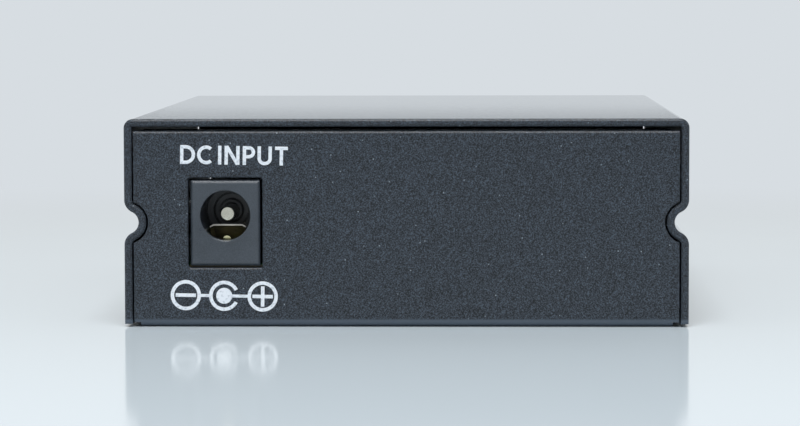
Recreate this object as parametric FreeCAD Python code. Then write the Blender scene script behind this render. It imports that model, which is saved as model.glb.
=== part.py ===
import FreeCAD, Part
import math
import os

# Fibre media converter: a folded steel case round one circuit board. The case slides into a
# rack chassis on the half-round groove of each side wall.
# Millimetres. X runs to the right seen from the rear, +Y is the front and +Z is up.
# The origin is the middle of the case's underside.

# Case
case_width = 73.0           # over the cover's side walls
case_depth = 94.5           # rear edge to front edge of the cover
case_height = 27.0          # underside of the base to the top of the cover
sheet = 1.0                 # steel of both halves
base_fold = 0.5             # inside radius of the base's bottom folds
edge_fold = 0.2             # inside radius of the cover's folds
panel_fold = 0.45           # outer radius of the tight fold along each panel's top
panel_recess = 0.2          # the panels lie this far inside the cover's ends
panel_side_gap = 0.2        # panel edge to the cover's wall
panel_top_gap = 0.5         # panel top to the cover's roof
return_flange = 5.0         # length of each panel's top edge, folded in
return_flange_end_gap = 1.0  # the return flange stops this far short of the panel's side edge
cover_lift = 0.4            # the cover's walls end this far above the underside
side_flange_height = 9.3    # the base's side flanges
side_flange_gap = 0.1       # side flange to the cover's wall
side_flange_setback = 4.0   # side flange ends this far short of the panels
relief_width = 0.8          # corner relief at the foot of each panel
relief_height = 0.6
edge_break = 0.25           # broken edges of the cover's ends
window_break = 0.15         # broken outer edges of the cut-outs in both panels

# Guide groove, one pressed along each side wall
groove_height = 13.6        # its centre above the underside
groove_radius = 1.5         # hollow of the outer skin
groove_inset = 0.35         # its centre lies this far inside the wall's outer plane
groove_mouth = 1.7          # outer radius of the fold at each lip
groove_gap = 0.25           # panel notch to the pressed-in wall

# Screws and standoffs, M3
thread_radius = 1.5
thread_gap = 0.05           # screw shank to the threads' crest cylinder
hole_gap = 0.1              # screw shank to a plain hole
cover_screw_head = 5.0      # diameter of the countersunk head
cover_screw_length = 4.0
cover_screw_height = 4.2    # above the underside
cover_screw_from_end = 14.0  # from the case's ends
collar_wall = 0.6           # drawn collar round each threaded hole of the side flanges
collar_length = 1.0
board_screw_head = 5.5      # hexagonal head, across the flats
board_screw_head_height = 1.8
board_screw_length = 5.0
standoff_hex = 5.0          # across the flats
standoff_head_hex = 5.6     # hexagonal head, pressed into the base from below
standoff_head_gap = 0.03
recess_width = 0.7          # arms of the cross recess
recess_span = 2.6
recess_depth = 0.8

# Circuit board
board_lift = 5.4            # standoff height above the base's floor
board_thickness = 1.6
board_side_gap = 1.1        # to the side flanges
board_end_gap = 0.6         # to the panels
standoff_side_inset = 4.8   # standoffs from the board's side edges
standoff_end_insets = [     # the side of the board in X and in Y, and the inset from that end
    (-1, -1, 18.4), (1, -1, 6.4), (-1, 1, 37.0), (1, 1, 18.4),
]
tail_length = 1.4           # solder tails stand out under the board
tail_gap = 0.2              # round a tail in its hole

# Power inlet
jack_inset = 13.1           # its middle from the case's side
jack_width = 9.0
jack_height = 11.1
jack_depth = 14.2
jack_collar_depth = 3.5     # square front, with the barrel behind it
jack_barrel_width = 8.6
jack_axis_height = 6.5      # hole centre above the board
jack_bore = 6.5             # diameter
jack_bore_depth = 10.0
jack_bevel = 0.3
jack_cutout_gap = 0.3       # panel cut-out to the body
jack_cutout_corner = 0.35   # radius of the cut-out's corners
jack_pin = 2.0              # diameter
jack_pin_setback = 3.5      # tip behind the body's face
jack_pin_rounding = 0.25    # round its flat tip
jack_pin_gap = 0.02         # in the back wall
jack_pin_ring = (1.5, 2.3, 0.8)  # ring sunk round the pin's root: inner and outer radius, depth
lug_thickness = 0.4
lug_width = 3.0

# Leaf spring and sleeve terminal of the power inlet
plug_sleeve = 5.5           # diameter of the plug's sleeve, which pushes the leaf down
leaf_thickness = 0.2
leaf_width = 4.7
leaf_curl = 0.5             # the leaf's long edges turn down over this width
leaf_curl_drop = 0.25
leaf_gap = 0.2              # leaf to the sides of its slot
leaf_tip_setback = 4.0      # tip behind the body's face
leaf_root_setback = 11.3    # hinge line of the leaf behind the body's face
leaf_root_length = 1.9
leaf_pin_gap = 0.4          # tip to the centre pin above it
slot_wall = 1.2             # front wall of the leaf's slot
slot_floor = 1.0            # under the sleeve terminal
slot_back_length = 13.4     # end of the slot behind the body's face
slot_back_height = 2.0      # of the slot behind the bore
terminal_thickness = 0.3
terminal_width = 3.0
terminal_tongue_width = 1.1
terminal_tongue_gap = 0.05  # top of the tongue under the plug's sleeve
terminal_tongue_setback = 2.6
terminal_tail_setback = 6.0
terminal_tail_width = 2.0

# Network jack, a shielded eight-way socket with its plug's latch downwards
network_inset = 13.0        # its middle from the case's side
network_width = 16.0        # over the shield
network_height = 13.4
network_depth = 21.3
shield_sheet = 0.3
shield_gap = 0.05           # shield to the housing
network_port_width = 11.9
network_port_height = 6.9
network_port_sill = 4.4     # plug body's floor above the board
network_port_depth = 13.5
latch_slot_width = 6.3
latch_slot_height = 1.6
latch_tip_width = 3.4
latch_tip_height = 1.4
contact_count = 8
contact_pitch = 1.02
contact_wire = 0.36
contact_root_setback = 2.6
contact_tip_setback = 11.4
contact_drop = 3.0          # the tips hang this far below the port's roof
contact_slot_gap = 0.15
contact_row_gap = 2.54      # between the two rows of solder tails
shield_tab_width = 1.6
network_cutout_gap = 0.3

# Fibre transceiver with two square push-in ports
fibre_space = 2.2           # between the network jack and the transceiver
fibre_width = 25.4
fibre_height = 12.2
fibre_length = 48.0
fibre_pitch = 12.7
fibre_port_width = 9.1
fibre_port_height = 7.5
fibre_port_axis = 6.1       # optical axis above the board
fibre_port_depth = 15.0
fibre_key_width = 2.3
fibre_key_height = 0.9
fibre_chamfer = 0.6
ferrule_bore = 2.51         # diameter, takes a 2.5 ferrule
ferrule_sleeve = 3.3        # outer diameter
ferrule_sleeve_reach = 8.0  # sleeve in front of the port's back wall
ferrule_sleeve_seat = 2.0   # sleeve inside the back wall
latch_arm = 0.9             # thickness of each latch arm
latch_arm_height = 3.6
latch_arm_reach = 7.0
latch_hook = 0.5
latch_plate = 1.0           # the arms' common plate on the port's back wall
latch_plate_height = 6.0
latch_side_gap = 0.25       # arms to the port's walls, and plate to the sleeve
fibre_waist_setback = 4.0   # shallow step across the top, behind the ports
fibre_waist_width = 1.6
fibre_waist_depth = 0.6
fibre_wing = 1.2            # the collar's spring wings beside the ports
collar_sheet = 0.25
collar_length = 6.0
collar_gap = 0.05
collar_panel_gap = 0.1
fibre_cutout_gap = 0.3
fibre_pin_count = 9
fibre_pin_pitch = 2.54
fibre_pin = 0.5             # square pins
fibre_pin_row = 4.0         # from the transceiver's inner end

# Indicator lamps: one clear moulding brings the light of six small lamps on the board to the panel
lamp_inset = 9.6            # the group's middle from the case's side
lamp_columns = 3
lamp_rows = 2
lamp_pitch = 4.2
lamp_row_pitch = 4.4
lamp_width = 3.0            # of each window
lamp_height = 1.8
lamp_hole_gap = 0.15
lamp_first_row = 4.5        # above the board
lamp_reach = 0.1            # the windows stand out of the panel
lamp_bend = 3.0             # first row's bend behind the panel
lamp_bend_step = 4.0        # each next row bends this much further back
lamp_bridge = 1.2           # thickness of the plate that joins the arms
lamp_peg = 1.0
lamp_chip = (2.6, 1.6, 1.1)
lamp_chip_gap = 0.3         # under the foot of each arm

# Chips: size over the moulded body in X, Y and Z, the sides that have leads, and the leads
chips = {
    "converter_chip": {"size": (14.0, 14.0, 1.6), "sides": "ENWS", "lead_count": 8, "lead_pitch": 1.5},
    "network_chip": {"size": (7.0, 7.0, 1.4), "sides": "ENWS", "lead_count": 5, "lead_pitch": 1.2},
    "network_transformer": {"size": (12.7, 7.0, 5.6), "sides": "NS", "lead_count": 8, "lead_pitch": 1.27},
    "voltage_regulator": {"size": (3.9, 4.9, 1.5), "sides": "EW", "lead_count": 4, "lead_pitch": 1.27},
}
converter_x = 10.0          # midway between the transceiver and the capacitors
network_chip_x = -13.5
network_chip_space = 1.0    # its leads to the transceiver's inner end
transformer_space = 1.2     # its leads to the network jack's back
regulator_spot = (1.5, 9.5)  # the power parts are placed in Y from the board's rear edge
chip_lift = 0.1             # body over the board
lead_sheet = 0.16
lead_width_share = 0.45     # of the pitch
lead_root = 0.3             # inside the body
lead_shoulder = 0.35        # level run outside the body
lead_slope = 0.3
lead_foot = 0.6
lead_top = 1.2              # highest root of a lead in a tall body
crystal_from_converter = 13.0
crystal_can = (11.0, 4.6, 3.4)  # length along Y, width and height
crystal_brim = 0.4
inductor_spot = (-9.5, 8.0)
inductor_size = (7.2, 7.2, 4.2)
inductor_corner = 1.2
inductor_well = (2.4, 0.5)  # radius and depth of the round well in its top
diode_spot = (-14.0, 18.0)
diode_size = (4.4, 2.6, 2.2)
diode_clip = (1.3, 0.2)     # width and sheet of each end clip
capacitor_spots = [(11.2, 7.5), (18.6, 10.5)]
capacitor_diameter = 6.3
capacitor_height = 7.7
capacitor_foot = (6.6, 1.0)  # side and height of the moulded foot
passive_size = (1.6, 0.8, 0.8)
passive_step = 2.6
passive_rows = [            # the chip they serve, the row's middle from the chip's, and its length
    ("converter_chip", 0.0, 9.7, 13.0),
    ("converter_chip", -13.5, -6.0, 7.8),
    ("network_chip", -0.5, -7.5, 7.8),
    ("network_transformer", 2.0, -6.6, 5.2),
]

# Planes and ends that the pieces share
panel_outer = case_depth / 2 - panel_recess         # outer face of the front and rear panels
panel_inner = panel_outer - sheet
panel_side = case_width / 2 - sheet - panel_side_gap
panel_top = case_height - sheet - panel_top_gap
flange_outer = case_width / 2 - sheet - side_flange_gap
flange_inner = flange_outer - sheet
board_bottom = sheet + board_lift
board_top = board_bottom + board_thickness
board_side = flange_inner - board_side_gap
board_end = panel_inner - board_end_gap
tail_end = board_bottom - tail_length
port_face = case_depth / 2                          # the ports' faces are level with the cover's end
groove_rise = math.sqrt((groove_radius + groove_mouth) ** 2 - (groove_mouth - groove_inset) ** 2)
groove_turn = math.degrees(math.atan2(groove_rise, groove_mouth - groove_inset))
jack_face = -panel_outer
jack_axis = board_top + jack_axis_height
jack_x = jack_inset - case_width / 2
network_x = network_inset - case_width / 2
fibre_x = network_x + network_width / 2 + fibre_space + fibre_width / 2
lamp_x = case_width / 2 - lamp_inset
standoff_spots = [(x_side * (board_side - standoff_side_inset), y_side * (board_end - inset))
                  for x_side, y_side, inset in standoff_end_insets]
cover_screw_y = case_depth / 2 - cover_screw_from_end

V = FreeCAD.Vector
same_point = 1e-6
planes = {
    "XY": (lambda u, v, w: V(u, v, w)),
    "XZ": (lambda u, v, w: V(u, w, v)),
    "YZ": (lambda u, v, w: V(w, u, v)),
}


def outline(plane, items, level):
    """Face in a plane from corners (u, v) and arcs (u, v, radius, first angle, last angle),
    joined by straight runs."""
    place = planes[plane]
    edges = []
    ends = []
    for item in items:
        if len(item) == 2:
            spots = [place(item[0], item[1], level)]
        else:
            u, v, radius, first, last = item
            angles = [math.radians(a) for a in (first, (first + last) / 2, last)]
            spots = [place(u + radius * math.cos(a), v + radius * math.sin(a), level) for a in angles]
        if ends and ends[-1].distanceToPoint(spots[0]) > same_point:
            edges.append(Part.makeLine(ends[-1], spots[0]))
        if len(spots) == 3:
            edges.append(Part.Arc(*spots).toShape())
        ends += [spots[0], spots[-1]]
    if ends[-1].distanceToPoint(ends[0]) > same_point:
        edges.append(Part.makeLine(ends[-1], ends[0]))
    return Part.Face(Part.Wire(edges))


def prism(plane, items, start, length):
    """Solid between two levels of the plane's normal."""
    return outline(plane, items, start).extrude(planes[plane](0, 0, length))


def flipped(items):
    """The same outline items mirrored in u and listed from the other end."""
    result = []
    for item in reversed(items):
        if len(item) == 2:
            result.append((-item[0], item[1]))
        else:
            u, v, radius, first, last = item
            result.append((-u, v, radius, 180 - last, 180 - first))
    return result


def backwards(items):
    """The same outline items walked the other way."""
    return [i if len(i) == 2 else (i[0], i[1], i[2], i[4], i[3]) for i in reversed(items)]


def block(x, y, z):
    """Box between the two limits of each axis."""
    return Part.makeBox(x[1] - x[0], y[1] - y[0], z[1] - z[0], V(x[0], y[0], z[0]))


def about(middle, width):
    """Limits of a width centred on a middle."""
    return (middle - width / 2, middle + width / 2)


def rod(axis, foot, radius, length):
    """Cylinder along X, Y or Z from the middle of its foot."""
    direction = {"X": V(1, 0, 0), "Y": V(0, 1, 0), "Z": V(0, 0, 1)}[axis]
    return Part.makeCylinder(radius, length, V(*foot), direction)


def strip(line, thickness):
    """Outline of an even strip along a centre line of points (u, v), mitred at its corners."""
    left = []
    right = []
    for n, (u, v) in enumerate(line):
        before = line[max(n - 1, 0)]
        after = line[min(n + 1, len(line) - 1)]
        into = unit(u - before[0], v - before[1]) if n > 0 else unit(after[0] - u, after[1] - v)
        out = unit(after[0] - u, after[1] - v) if n < len(line) - 1 else into
        mitre = unit(-into[1] - out[1], into[0] + out[0])
        reach = thickness / 2 / (mitre[0] * -into[1] + mitre[1] * into[0])
        left.append((u + mitre[0] * reach, v + mitre[1] * reach))
        right.append((u - mitre[0] * reach, v - mitre[1] * reach))
    return left + right[::-1]


def unit(u, v):
    size = math.hypot(u, v)
    return (u / size, v / size)


def turned(axis, foot, items):
    """Solid of revolution: the outline gives radius and height along an axis from its foot."""
    solid = outline("XZ", items, 0).revolve(V(0, 0, 0), V(0, 0, 1), 360)
    hinge, angle = {"+Z": ((1, 0, 0), 0), "-Z": ((1, 0, 0), 180), "+Y": ((1, 0, 0), -90),
                    "-Y": ((1, 0, 0), 90), "+X": ((0, 1, 0), 90), "-X": ((0, 1, 0), -90)}[axis]
    solid.rotate(V(0, 0, 0), V(*hinge), angle)
    solid.translate(V(*foot))
    return solid


def mirrored(shape):
    return shape.mirror(V(0, 0, 0), V(1, 0, 0))


def joined(pieces):
    return pieces[0].multiFuse(pieces[1:]).removeSplitter()


def moved(shape, x, y, z):
    """Copy of a shape, carried along."""
    copy = shape.copy()
    copy.translate(V(x, y, z))
    return copy


# ---- The two halves of the case

def cover_skin(offset):
    """Right half of the cover's section at a depth under its outer skin, foot to roof."""
    wall = case_width / 2
    mouth = wall - groove_mouth
    fold = edge_fold + sheet
    return [
        (wall - offset, cover_lift),
        (mouth, groove_height - groove_rise, groove_mouth - offset, 0, groove_turn),
        (wall - groove_inset, groove_height, groove_radius + offset, 180 + groove_turn, 180 - groove_turn),
        (mouth, groove_height + groove_rise, groove_mouth - offset, -groove_turn, 0),
        (wall - fold, case_height - fold, fold - offset, 0, 90),
    ]


def screw_places():
    """Each cover screw: side (-1 or 1) and place along Y."""
    return [(side, y) for side in (-1, 1) for y in (-cover_screw_y, cover_screw_y)]


def top_cover():
    outer = cover_skin(0) + flipped(cover_skin(0))
    inner = cover_skin(sheet) + flipped(cover_skin(sheet))
    cover = prism("XZ", outer + backwards(inner), -case_depth / 2, case_depth)
    for side, y in screw_places():
        mouth = V(side * case_width / 2, y, cover_screw_height)
        wide = cover_screw_head / 2 + thread_gap
        cover = cover.cut(Part.makeCone(wide, thread_radius + hole_gap, sheet, mouth, V(-side, 0, 0)))
    rims = [e for e in cover.Edges if e.BoundBox.YLength < same_point]
    return cover.makeChamfer(edge_break, rims)


def tray_skin(offset):
    """Front half of the base's section from the floor's middle to the end of the top fold, at a
    depth under its outer skin. The top fold is round outside and square inside."""
    bend = base_fold + sheet
    fold = (panel_outer - panel_fold, panel_top - panel_fold, panel_fold, 0, 90)
    return [
        (panel_outer - bend, bend, bend - offset, -90, 0),
        (panel_outer - offset, panel_top - offset) if offset else fold,
        (panel_outer - return_flange, panel_top - offset),
    ]


def side_flange():
    """The right-hand side flange with its bend, before the screw holes."""
    bend = base_fold + sheet
    centre = flange_outer - bend
    end = panel_inner - side_flange_setback
    section = [
        (centre - sheet, 0), (centre, bend, bend, -90, 0), (flange_outer, side_flange_height),
        (flange_inner, side_flange_height), (centre, bend, base_fold, 0, -90), (centre - sheet, sheet),
    ]
    side_view = [
        (-end, 0), (end, 0), (end - bend, side_flange_height - bend, bend, 0, 90),
        (-end + bend, side_flange_height - bend, bend, 90, 180),
    ]
    cross = prism("YZ", side_view, 0, case_width / 2)
    return prism("XZ", section, -end, 2 * end).common(cross)


def window_rims(tray, windows):
    """Edges round the cut-outs on the outer faces of both panels."""
    rims = []
    for edge in tray.Edges:
        box = edge.BoundBox
        level = box.YLength < same_point and abs(abs(box.YMin) - panel_outer) < same_point
        if level and any(w.BoundBox.isInside(box.Center) for w in windows):
            rims.append(edge)
    return rims


def base_tray():
    outer = flipped(tray_skin(0)) + tray_skin(0)
    inner = flipped(tray_skin(sheet)) + tray_skin(sheet)
    tray = prism("YZ", outer + backwards(inner), -panel_side, 2 * panel_side)
    bend = base_fold + sheet
    ends = (-case_depth, case_depth)
    cuts = []
    for side in (-1, 1):
        # notch round the pressed-in groove
        foot = (side * (case_width / 2 - groove_inset), -case_depth / 2, groove_height)
        cuts.append(rod("Y", foot, groove_radius + sheet + groove_gap, case_depth))
        # floor cut back for the side flange's bend, and the corner reliefs
        edge = sorted((side * (flange_outer - bend), side * case_width))
        cuts.append(block(edge, about(0, 2 * (panel_outer - bend)), (-sheet, 2 * sheet)))
        corner = sorted((side * (panel_side - relief_width), side * case_width))
        cuts.append(block(corner, ends, (-sheet, relief_height)))
        # ends of the return flanges
        tip = sorted((side * (panel_side - return_flange_end_gap), side * case_width))
        cuts.append(block(tip, about(0, 2 * panel_inner), (panel_top - 2 * sheet, case_height)))
    windows = rear_cutouts() + front_cutouts()
    cuts += windows
    press = hexagon(standoff_head_hex + 2 * standoff_head_gap)
    cuts += [moved(prism("XY", press, -sheet, 3 * sheet), x, y, 0) for x, y in standoff_spots]
    tray = tray.cut(cuts[0].multiFuse(cuts[1:]))
    tray = tray.makeChamfer(window_break, window_rims(tray, windows))
    flange = side_flange()
    collars = []
    bores = []
    for side, y in screw_places():
        foot = min(side * flange_inner, side * (flange_inner - collar_length))
        collars.append(rod("X", (foot, y, cover_screw_height), thread_radius + collar_wall, collar_length))
        bores.append(rod("X", (foot - 2 * sheet, y, cover_screw_height), thread_radius,
                         collar_length + 4 * sheet))
    tray = joined([tray, flange, mirrored(flange)] + collars)
    return tray.cut(bores[0].multiFuse(bores[1:]))


def panel_cut(x, z, front):
    """Rectangular cut through the front or the rear panel."""
    levels = (panel_inner - sheet / 2, panel_outer + sheet / 2)
    return block(x, levels if front else (-levels[1], -levels[0]), z)


def rear_cutouts():
    gap = jack_cutout_gap
    cut = panel_cut(about(jack_x, jack_width + 2 * gap), (board_top - gap, board_top + jack_height + gap),
                    False)
    corners = [e for e in cut.Edges if e.BoundBox.YLength > sheet]
    return [cut.makeFillet(jack_cutout_corner, corners)]


def lamp_places():
    """Middle (x, z) of each lamp window, and how far its arm's bend lies along Y."""
    return [(lamp_x + (column - (lamp_columns - 1) / 2) * lamp_pitch,
             board_top + lamp_first_row + row * lamp_row_pitch,
             panel_inner - lamp_bend - row * lamp_bend_step)
            for row in range(lamp_rows) for column in range(lamp_columns)]


def front_cutouts():
    net = network_cutout_gap
    fibre = fibre_cutout_gap
    cuts = [
        panel_cut(about(network_x, network_width + 2 * net),
                  (board_top - net, board_top + network_height + net), True),
        panel_cut(about(fibre_x, fibre_width + 2 * fibre),
                  (board_top - fibre, board_top + fibre_height + fibre), True),
    ]
    for x, z, bend in lamp_places():
        cuts.append(panel_cut(about(x, lamp_width + 2 * lamp_hole_gap),
                              about(z, lamp_height + 2 * lamp_hole_gap), True))
    return cuts


# ---- Board, standoffs and screws

def tail_slot(x, y):
    """Slot through the board round a solder tail with the given limits."""
    grown = [(low - tail_gap, high + tail_gap) for low, high in (x, y)]
    return block(grown[0], grown[1], (board_bottom - sheet, board_top + sheet))


def main_board():
    board = block((-board_side, board_side), (-board_end, board_end), (board_bottom, board_top))
    holes = [rod("Z", (x, y, 0), thread_radius + hole_gap, case_height) for x, y in standoff_spots]
    holes += [tail_slot(x, y) for x, y in tails()]
    return board.cut(holes[0].multiFuse(holes[1:]))


def tails():
    """Limits in X and Y of every solder tail that passes through the board."""
    lug = jack_face + jack_depth
    result = [
        (about(jack_x, lug_width), (lug, lug + lug_thickness)),
        (about(jack_x, terminal_tail_width),
         (jack_face + terminal_tail_setback, jack_face + terminal_tail_setback + terminal_thickness)),
    ]
    result += [(about(x, contact_wire), about(y, contact_wire)) for x, y in contact_tails()]
    result += [(about(x, fibre_pin), about(y, fibre_pin)) for x, y in fibre_pin_places()]
    result += [(about(x, lamp_peg), about(y, lamp_bridge)) for x, y in lamp_peg_places()]
    result += shield_tab_places()
    return result


def hexagon(flats):
    """Corners of a hexagon given its size across the flats."""
    radius = flats / math.sqrt(3)
    return [(radius * math.cos(math.radians(turn)), radius * math.sin(math.radians(turn)))
            for turn in range(0, 360, 60)]


def board_standoffs():
    head = prism("XY", hexagon(standoff_head_hex), 0, sheet)
    barrel = prism("XY", hexagon(standoff_hex), sheet, board_lift)
    standoff = joined([head, barrel]).cut(rod("Z", (0, 0, 0), thread_radius, board_bottom))
    return [moved(standoff, x, y, 0) for x, y in standoff_spots]


def cross_recess(depth):
    """Cross-shaped recess cut down from z = 0."""
    arm = about(0, recess_width)
    span = about(0, recess_span)
    return block(arm, span, (-depth, depth)).fuse(block(span, arm, (-depth, depth)))


def board_screws():
    head = prism("XY", hexagon(board_screw_head), 0, board_screw_head_height)
    shank = rod("Z", (0, 0, -board_screw_length), thread_radius - thread_gap, board_screw_length)
    screw = joined([head, shank])
    return [moved(screw, x, y, board_top) for x, y in standoff_spots]


def cover_screws():
    head = cover_screw_head / 2
    shank = thread_radius - thread_gap
    section = [(0, 0), (head, 0), (shank, -sheet), (shank, -cover_screw_length), (0, -cover_screw_length)]
    screws = []
    for side, y in screw_places():
        screw = turned("+Z", (0, 0, 0), section).cut(cross_recess(recess_depth))
        screw.rotate(V(0, 0, 0), V(0, 1, 0), side * 90)
        screws.append(moved(screw, side * case_width / 2, y, cover_screw_height))
    return screws


# ---- Power inlet

def jack_body():
    low = board_top
    collar_end = jack_face + jack_collar_depth
    back = jack_face + jack_depth
    barrel = jack_barrel_width / 2
    front = block(about(jack_x, jack_width), (jack_face, collar_end), (low, low + jack_height))
    rim = [e for e in front.Edges if e.BoundBox.YMax < jack_face + same_point]
    front = front.makeChamfer(jack_bevel, rim)
    arch = prism("XZ", [(-barrel, low), (barrel, low), (0, jack_axis, barrel, 0, 180)], collar_end,
                 back - collar_end)
    body = joined([front, moved(arch, jack_x, 0, 0)])
    bore_end = jack_face + jack_bore_depth
    inner, outer, sunk = jack_pin_ring
    ring = [(inner, 0), (outer, 0), (outer, sunk), (inner, sunk)]
    slot = about(jack_x, leaf_width + 2 * leaf_gap)
    slot_start = jack_face + slot_wall
    floor = low + slot_floor
    bore_side = math.sqrt((jack_bore / 2) ** 2 - (leaf_width / 2 + leaf_gap) ** 2)
    tail = jack_face + terminal_tail_setback
    cuts = [
        rod("Y", (jack_x, jack_face, jack_axis), jack_bore / 2, jack_bore_depth),
        rod("Y", (jack_x, jack_face, jack_axis), jack_pin / 2 + jack_pin_gap, jack_depth),
        turned("+Y", (jack_x, bore_end, jack_axis), ring),
        block(slot, (slot_start, bore_end), (floor, jack_axis - bore_side)),
        block(slot, (slot_start, jack_face + slot_back_length), (floor, floor + slot_back_height)),
        block(about(jack_x, terminal_tail_width + 2 * tail_gap),
              (tail - tail_gap, tail + terminal_thickness + tail_gap), (low - sheet, floor)),
    ]
    return body.cut(cuts[0].multiFuse(cuts[1:]))


def jack_pin_piece():
    """Centre pin with its flat tip, headed over the solder lug behind the body."""
    radius = jack_pin / 2
    length = jack_depth - jack_pin_setback
    tip = jack_pin_rounding
    section = [(0, 0), (radius, 0), (radius - tip, length - tip, tip, 0, 90), (0, length)]
    pin = turned("-Y", (jack_x, jack_face + jack_depth, jack_axis), section)
    back = jack_face + jack_depth
    crown = lug_width / 2
    plate = [(-crown, tail_end), (crown, tail_end), (0, jack_axis, crown, 0, 180)]
    lug = moved(prism("XZ", plate, back, lug_thickness), jack_x, 0, 0)
    return joined([pin, lug])


def leaf_line():
    """Side view (y, z) of the leaf spring's centre line: root, hinge line and tip."""
    root_z = board_top + slot_floor + terminal_thickness + leaf_thickness / 2
    root_y = jack_face + leaf_root_setback
    tip_y = jack_face + leaf_tip_setback
    tip_z = jack_axis - jack_pin / 2 - leaf_pin_gap - leaf_thickness / 2
    return (root_y + leaf_root_length, root_z), (root_y, root_z), (tip_y, tip_z)


def jack_leaf():
    """Plug spring: a flat root, then a leaf that rises towards the centre pin with its long edges
    turned down."""
    end, root, tip = leaf_line()
    half = leaf_width / 2
    flat = half - leaf_curl
    top = leaf_thickness / 2
    section = [
        (-half, -top - leaf_curl_drop), (-flat, -top), (flat, -top), (half, -top - leaf_curl_drop),
        (half, top - leaf_curl_drop), (flat, top), (-flat, top), (-half, top - leaf_curl_drop),
    ]
    rise = V(0, tip[0] - root[0], tip[1] - root[1])
    leaf = moved(outline("XZ", section, root[0]), jack_x, 0, root[1]).extrude(rise)
    level = prism("YZ", strip([end, root], leaf_thickness), jack_x - flat, 2 * flat)
    return joined([leaf, level])


def jack_terminal():
    """Brass strip on the slot's floor with an upturned tongue in front and a tail below."""
    floor = board_top + slot_floor
    top = floor + terminal_thickness
    start = jack_face + terminal_tongue_setback
    tail = jack_face + terminal_tail_setback
    end = leaf_line()[0][0]
    base = block(about(jack_x, terminal_width), (start, end), (floor, top))
    crown = terminal_tongue_width / 2
    crest = jack_axis - plug_sleeve / 2 - terminal_tongue_gap
    plate = [(-crown, floor), (crown, floor), (0, crest - crown, crown, 0, 180)]
    tongue = moved(prism("XZ", plate, start, terminal_thickness), jack_x, 0, 0)
    leg = block(about(jack_x, terminal_tail_width), (tail, tail + terminal_thickness), (tail_end, floor))
    return joined([base, tongue, leg])


# ---- Network jack

def contact_spots():
    """Place along X of each contact wire."""
    return [network_x + (n - (contact_count - 1) / 2) * contact_pitch for n in range(contact_count)]


def contact_line(n):
    """Side view (y, z) of a contact wire, from its tip in the port to its solder tail. Odd and
    even wires go down in two rows."""
    roof = board_top + network_port_sill + network_port_height
    upper = roof + (board_top + network_height - shield_sheet - shield_gap - roof) / 2
    back = port_face - network_depth + shield_sheet + 1.2 + (n % 2) * contact_row_gap
    return [
        (port_face - contact_tip_setback, roof - contact_drop),
        (port_face - contact_root_setback, roof - contact_wire),
        (port_face - contact_root_setback + contact_wire * 2, upper),
        (back, upper), (back, tail_end),
    ]


def contact_tails():
    return [(x, contact_line(n)[-1][0]) for n, x in enumerate(contact_spots())]


def network_contacts():
    return [prism("YZ", strip(contact_line(n), contact_wire), x - contact_wire / 2, contact_wire)
            for n, x in enumerate(contact_spots())]


def network_housing():
    inset = shield_sheet + shield_gap
    width = network_width - 2 * inset
    top = board_top + network_height - inset
    body = block(about(network_x, width), (port_face - network_depth + inset, port_face), (board_top, top))
    sill = board_top + network_port_sill
    depth = (port_face - network_port_depth, port_face + 1)
    cuts = [
        block(about(network_x, network_port_width), depth, (sill, sill + network_port_height)),
        block(about(network_x, latch_slot_width), depth, (sill - latch_slot_height, sill + 1)),
        block(about(network_x, latch_tip_width), depth,
              (sill - latch_slot_height - latch_tip_height, sill)),
    ]
    wide = contact_wire + 2 * contact_slot_gap
    for n, x in enumerate(contact_spots()):
        line = contact_line(n)
        path = [line[0], line[1], line[2], line[3], (line[4][0], board_top - 1)]
        cuts.append(prism("YZ", strip(path, wide), x - wide / 2, wide))
    return body.cut(cuts[0].multiFuse(cuts[1:]))


def shield_tab_places():
    """Limits in X and Y of the shield's two board tabs."""
    side = network_width / 2
    y = about(port_face - network_depth / 2, shield_tab_width)
    return [((network_x - side, network_x - side + shield_sheet), y),
            ((network_x + side - shield_sheet, network_x + side), y)]


def network_shield():
    top = board_top + network_height
    y = (port_face - network_depth, port_face)
    outer = block(about(network_x, network_width), y, (board_top, top))
    inner = block(about(network_x, network_width - 2 * shield_sheet), (y[0] + shield_sheet, y[1] + 1),
                  (board_top - 1, top - shield_sheet))
    shell = outer.cut(inner)
    tabs = [block(x, limits, (tail_end, board_top + 1)) for x, limits in shield_tab_places()]
    return joined([shell] + tabs)


# ---- Fibre transceiver

def fibre_ports():
    return [fibre_x + side * fibre_pitch / 2 for side in (-1, 1)]


def fibre_pin_places():
    y = port_face - fibre_length + fibre_pin_row
    return [(fibre_x + (n - (fibre_pin_count - 1) / 2) * fibre_pin_pitch, y)
            for n in range(fibre_pin_count)]


def fibre_housing():
    half = fibre_width / 2
    top = fibre_height
    cut = fibre_chamfer
    section = [(-half, 0), (half, 0), (half, top - cut), (half - cut, top), (-half + cut, top),
               (-half, top - cut)]
    body = moved(prism("XZ", section, port_face - fibre_length, fibre_length), fibre_x, 0, board_top)
    axis = board_top + fibre_port_axis
    back = port_face - fibre_port_depth
    roof = axis + fibre_port_height / 2
    cuts = []
    depth = (back, port_face + 1)
    for x in fibre_ports():
        cuts.append(block(about(x, fibre_port_width), depth, about(axis, fibre_port_height)))
        cuts.append(block(about(x, fibre_key_width), depth, (roof - 1, roof + fibre_key_height)))
        cuts.append(rod("Y", (x, back - ferrule_sleeve_seat, axis), ferrule_sleeve / 2 + jack_pin_gap,
                        ferrule_sleeve_seat + 1))
    waist = back - fibre_waist_setback
    cuts.append(block(about(fibre_x, fibre_width + 2), (waist - fibre_waist_width, waist),
                      (board_top + fibre_height - fibre_waist_depth, case_height)))
    return body.cut(cuts[0].multiFuse(cuts[1:]))


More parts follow.
